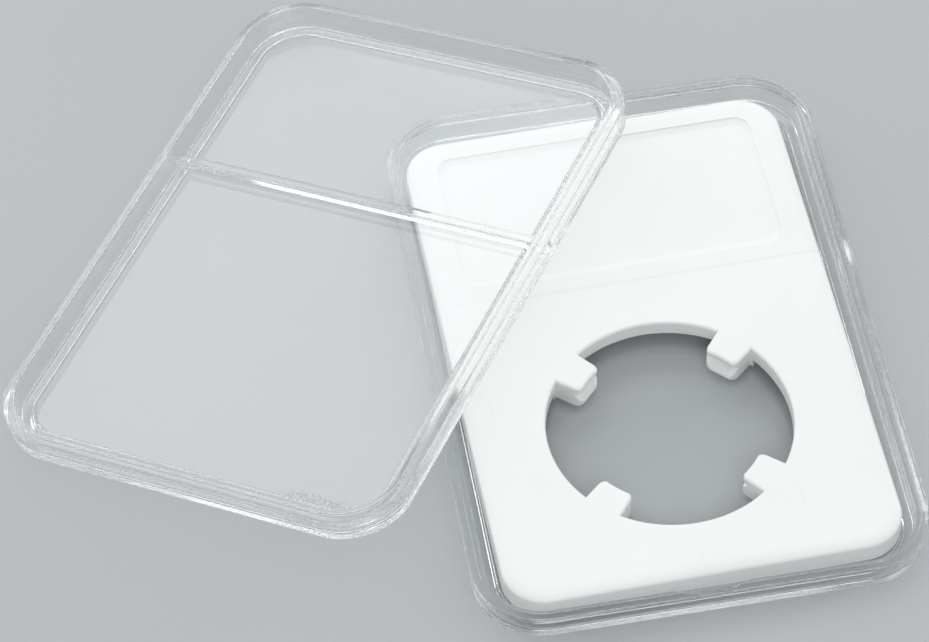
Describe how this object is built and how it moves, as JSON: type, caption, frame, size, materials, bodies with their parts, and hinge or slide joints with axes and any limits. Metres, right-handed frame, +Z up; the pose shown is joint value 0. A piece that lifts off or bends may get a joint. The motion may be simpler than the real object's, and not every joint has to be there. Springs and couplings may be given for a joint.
{
  "type": "coin slab capsule",
  "caption": "Opened coin slab: clear rounded tray with a loose white insert whose round opening grips a coin on prongs, and a clear snap cover leaning on it.",
  "frame": {"origin": "middle of the flat underside of the base tray", "axes": "+Z up, the base's long side along Y with the label end at +Y, its width along X; the cover lies off to the -X side"},
  "size_m": [0.1165, 0.11, 0.0139],
  "materials": {
    "clear_base": "clear polished moulded plastic",
    "white_insert": "satin white moulded plastic",
    "clear_cover": "clear polished moulded plastic"
  },
  "bodies": {
    "base": {"base_tray": "clear_base"},
    "insert": {"coin_insert": "white_insert"},
    "cover": {"cover": "clear_cover"}
  },
  "joints": [
    {"name": "insert_lift", "type": "slide", "parent": "base", "child": "insert", "axis": [0, 0, 1], "range_m": [0, 0.03]},
    {"name": "cover_lift", "type": "slide", "parent": "insert", "child": "cover", "axis": [0, 0, 1], "range_m": [0, 0.03]}
  ]
}
